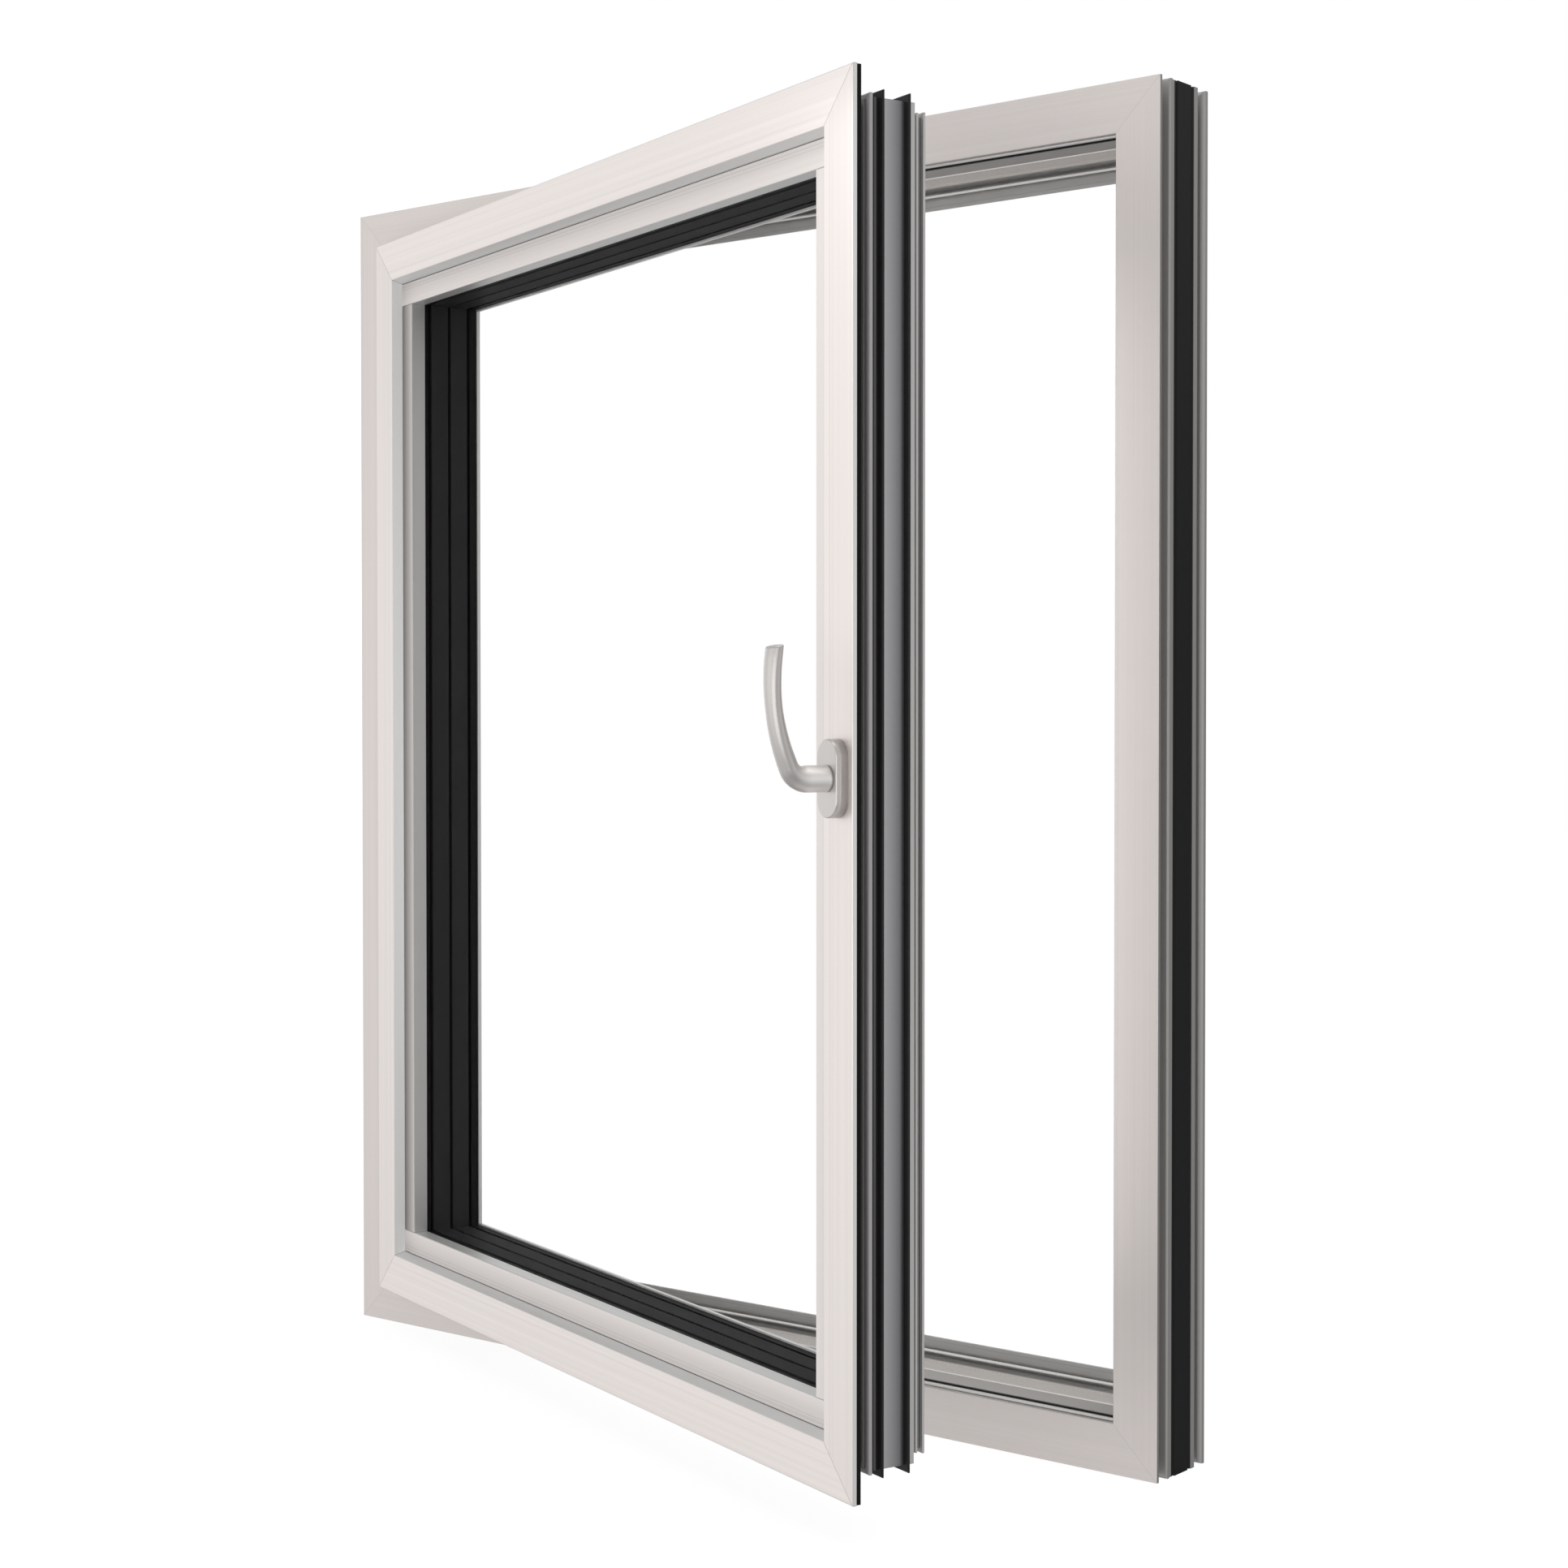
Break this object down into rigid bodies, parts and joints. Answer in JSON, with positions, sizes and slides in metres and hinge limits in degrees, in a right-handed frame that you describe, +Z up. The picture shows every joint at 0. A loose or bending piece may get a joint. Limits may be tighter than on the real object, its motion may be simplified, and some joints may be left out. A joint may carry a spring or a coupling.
{
  "type": "side-hung window",
  "caption": "Inward-opening side-hung window in thermally broken aluminium with triple glazing, square glazing beads, concealed hinges and a lever handle.",
  "frame": {"origin": "underside of the sill, at mid-width and mid-depth of the fixed frame", "axes": "+Z up, +X towards the lock side, -Y towards the room"},
  "size_m": [1.13, 0.5041, 1.35],
  "materials": {
    "frame_aluminium": "natural anodised, brushed along each member",
    "leaf_aluminium": "natural anodised, brushed along each member",
    "insulating_bar": "black glass-filled polyamide",
    "glass": "clear float glass",
    "spacer": "black warm-edge spacer",
    "rubber": "matt black",
    "handle": "satin anodised",
    "hinge_steel": "zinc plated"
  },
  "bodies": {
    "frame": {"frame_break_head": "insulating_bar", "frame_break_hinge_jamb": "insulating_bar", "frame_break_lock_jamb": "insulating_bar", "frame_break_sill": "insulating_bar", "frame_inner_head": "frame_aluminium", "frame_inner_hinge_jamb": "frame_aluminium", "frame_inner_lock_jamb": "frame_aluminium", "frame_inner_sill": "frame_aluminium", "frame_outer_head": "frame_aluminium", "frame_outer_hinge_jamb": "frame_aluminium", "frame_outer_lock_jamb": "frame_aluminium", "frame_outer_sill": "frame_aluminium", "lower_hinge_frame_side": "hinge_steel", "upper_hinge_frame_side": "hinge_steel"},
    "leaf": {"glazing_bead_bottom_rail": "leaf_aluminium", "glazing_bead_hinge_stile": "leaf_aluminium", "glazing_bead_lock_stile": "leaf_aluminium", "glazing_bead_top_rail": "leaf_aluminium", "inner_glazing_gasket": "rubber", "inner_pane": "glass", "inner_spacer": "spacer", "leaf_break_bottom_rail": "insulating_bar", "leaf_break_hinge_stile": "insulating_bar", "leaf_break_lock_stile": "insulating_bar", "leaf_break_top_rail": "insulating_bar", "leaf_inner_bottom_rail": "leaf_aluminium", "leaf_inner_hinge_stile": "leaf_aluminium", "leaf_inner_lock_stile": "leaf_aluminium", "leaf_inner_top_rail": "leaf_aluminium", "leaf_outer_bottom_rail": "leaf_aluminium", "leaf_outer_hinge_stile": "leaf_aluminium", "leaf_outer_lock_stile": "leaf_aluminium", "leaf_outer_top_rail": "leaf_aluminium", "lower_hinge_leaf_side": "hinge_steel", "middle_pane": "glass", "outer_glazing_gasket": "rubber", "outer_pane": "glass", "outer_spacer": "spacer", "overlap_seal": "rubber", "rosette": "handle", "upper_hinge_leaf_side": "hinge_steel"},
    "handle": {"lever_handle": "handle"}
  },
  "joints": [
    {"name": "leaf_swing", "type": "hinge", "parent": "frame", "child": "leaf", "pos_m": [-0.5242, -0.0489, 0.675], "axis": [0, 0, -1], "range_deg": [-18.9, 71.1]},
    {"name": "handle_turn", "type": "hinge", "parent": "leaf", "child": "handle", "pos_m": [0.44255, -0.38718, 0.683], "axis": [-0.3239, -0.9461, 0], "range_deg": [0, 180]}
  ]
}
